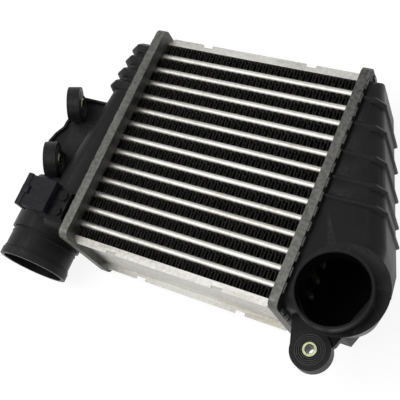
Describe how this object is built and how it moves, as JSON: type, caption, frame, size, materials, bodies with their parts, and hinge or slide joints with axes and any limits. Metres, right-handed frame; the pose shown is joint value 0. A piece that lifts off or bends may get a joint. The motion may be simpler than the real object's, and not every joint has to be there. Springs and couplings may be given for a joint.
{
  "type": "intercooler",
  "caption": "Air-to-air charge cooler: finned tube core between crimped header plates, with a moulded tank at each end, hose spigots, rubber-mounted fixing eyes and a sensor.",
  "frame": {"origin": "centre of the front end of the bush in the inlet tank's fixing eye", "axes": "+X along the tubes from the outlet tank to the inlet tank, +Y up the stack of tubes, +Z out of the core's face, along the bush's bore"},
  "size_m": [0.3528, 0.2378, 0.1057],
  "materials": {
    "tube_aluminium": "satin",
    "fin_aluminium": "satin",
    "header_aluminium": "dull",
    "tank_plastic": "soft sheen, glass-filled",
    "sensor_plastic": "matte",
    "rubber": "matte",
    "plated_steel": "zinc plated, pale yellow"
  },
  "bodies": {
    "root": {"tube_01": "tube_aluminium", "tube_02": "tube_aluminium", "tube_03": "tube_aluminium", "tube_04": "tube_aluminium", "tube_05": "tube_aluminium", "tube_06": "tube_aluminium", "tube_07": "tube_aluminium", "tube_08": "tube_aluminium", "tube_09": "tube_aluminium", "tube_10": "tube_aluminium", "tube_11": "tube_aluminium", "tube_12": "tube_aluminium", "tube_13": "tube_aluminium", "fin_row_01": "fin_aluminium", "fin_row_02": "fin_aluminium", "fin_row_03": "fin_aluminium", "fin_row_04": "fin_aluminium", "fin_row_05": "fin_aluminium", "fin_row_06": "fin_aluminium", "fin_row_07": "fin_aluminium", "fin_row_08": "fin_aluminium", "fin_row_09": "fin_aluminium", "fin_row_10": "fin_aluminium", "fin_row_11": "fin_aluminium", "fin_row_12": "fin_aluminium", "fin_row_13": "fin_aluminium", "fin_row_14": "fin_aluminium", "side_plate_upper": "tube_aluminium", "side_plate_lower": "tube_aluminium", "header_plate_inlet": "header_aluminium", "header_plate_outlet": "header_aluminium", "gasket_inlet": "rubber", "gasket_outlet": "rubber", "tank_inlet": "tank_plastic", "tank_outlet": "tank_plastic", "grommets": "rubber", "bushes": "plated_steel", "sensor": "sensor_plastic", "sensor_seal": "rubber", "sensor_screws": "plated_steel"}
  },
  "joints": []
}
